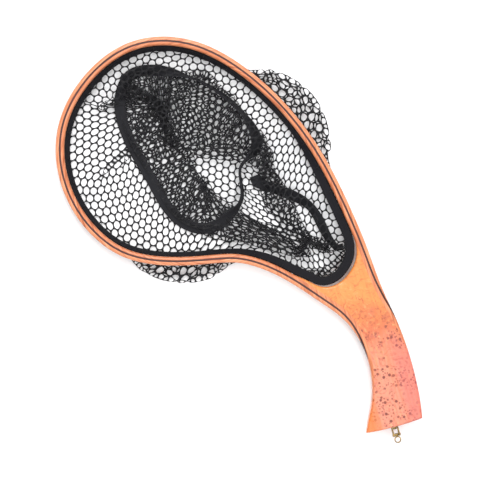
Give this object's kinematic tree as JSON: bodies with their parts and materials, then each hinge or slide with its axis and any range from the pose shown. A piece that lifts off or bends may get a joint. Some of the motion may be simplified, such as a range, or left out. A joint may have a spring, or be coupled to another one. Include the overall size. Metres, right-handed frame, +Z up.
{
  "type": "landing net",
  "caption": "Curved-handle wooden landing net with a laminated hoop, a burl handle, a limp black mesh bag laced to the hoop and a small lanyard swivel.",
  "frame": {"origin": "bottom centre of the whole net's box, on the surface that the collapsed bag lies on", "axes": "+X along the hoop's long axis from its tip towards the handle, +Y across the hoop, +Z up out of the net's mouth"},
  "size_m": [0.4946, 0.2586, 0.025],
  "materials": {
    "pale_strips": "gloss varnish",
    "dark_strip": "gloss varnish",
    "burl_core": "gloss varnish",
    "black_cord": "braided nylon",
    "rim_tape": "woven nylon tape",
    "black_mesh": "knotless knitted nylon mesh",
    "seam_tape": "grosgrain tape",
    "brass": "antique brass"
  },
  "bodies": {
    "frame": {"outer_lamination": "pale_strips", "accent_lamination": "dark_strip", "inner_lamination": "pale_strips", "handle_core": "burl_core", "groove_cord": "black_cord", "lacing_loops": "black_cord", "rim_tape": "rim_tape", "net_skirt": "black_mesh", "side_net": "black_mesh", "bottom_net": "black_mesh", "bottom_seam_tape": "seam_tape", "side_seam_tape": "seam_tape", "swivel_screw": "brass"},
    "stirrup": {"swivel_stirrup": "brass", "pivot_pin": "brass"},
    "eye": {"eye_link": "brass"}
  },
  "joints": [
    {"name": "swivel_turn", "type": "hinge", "parent": "frame", "child": "stirrup", "pos_m": [0.22952, -0.10386, 0.0155], "axis": [0.7771, -0.6293, 0], "continuous": true},
    {"name": "eye_swing", "type": "hinge", "parent": "stirrup", "child": "eye", "pos_m": [0.23636, -0.10939, 0.0155], "axis": [0.6293, 0.7771, 0], "range_deg": [-100, 100]}
  ]
}
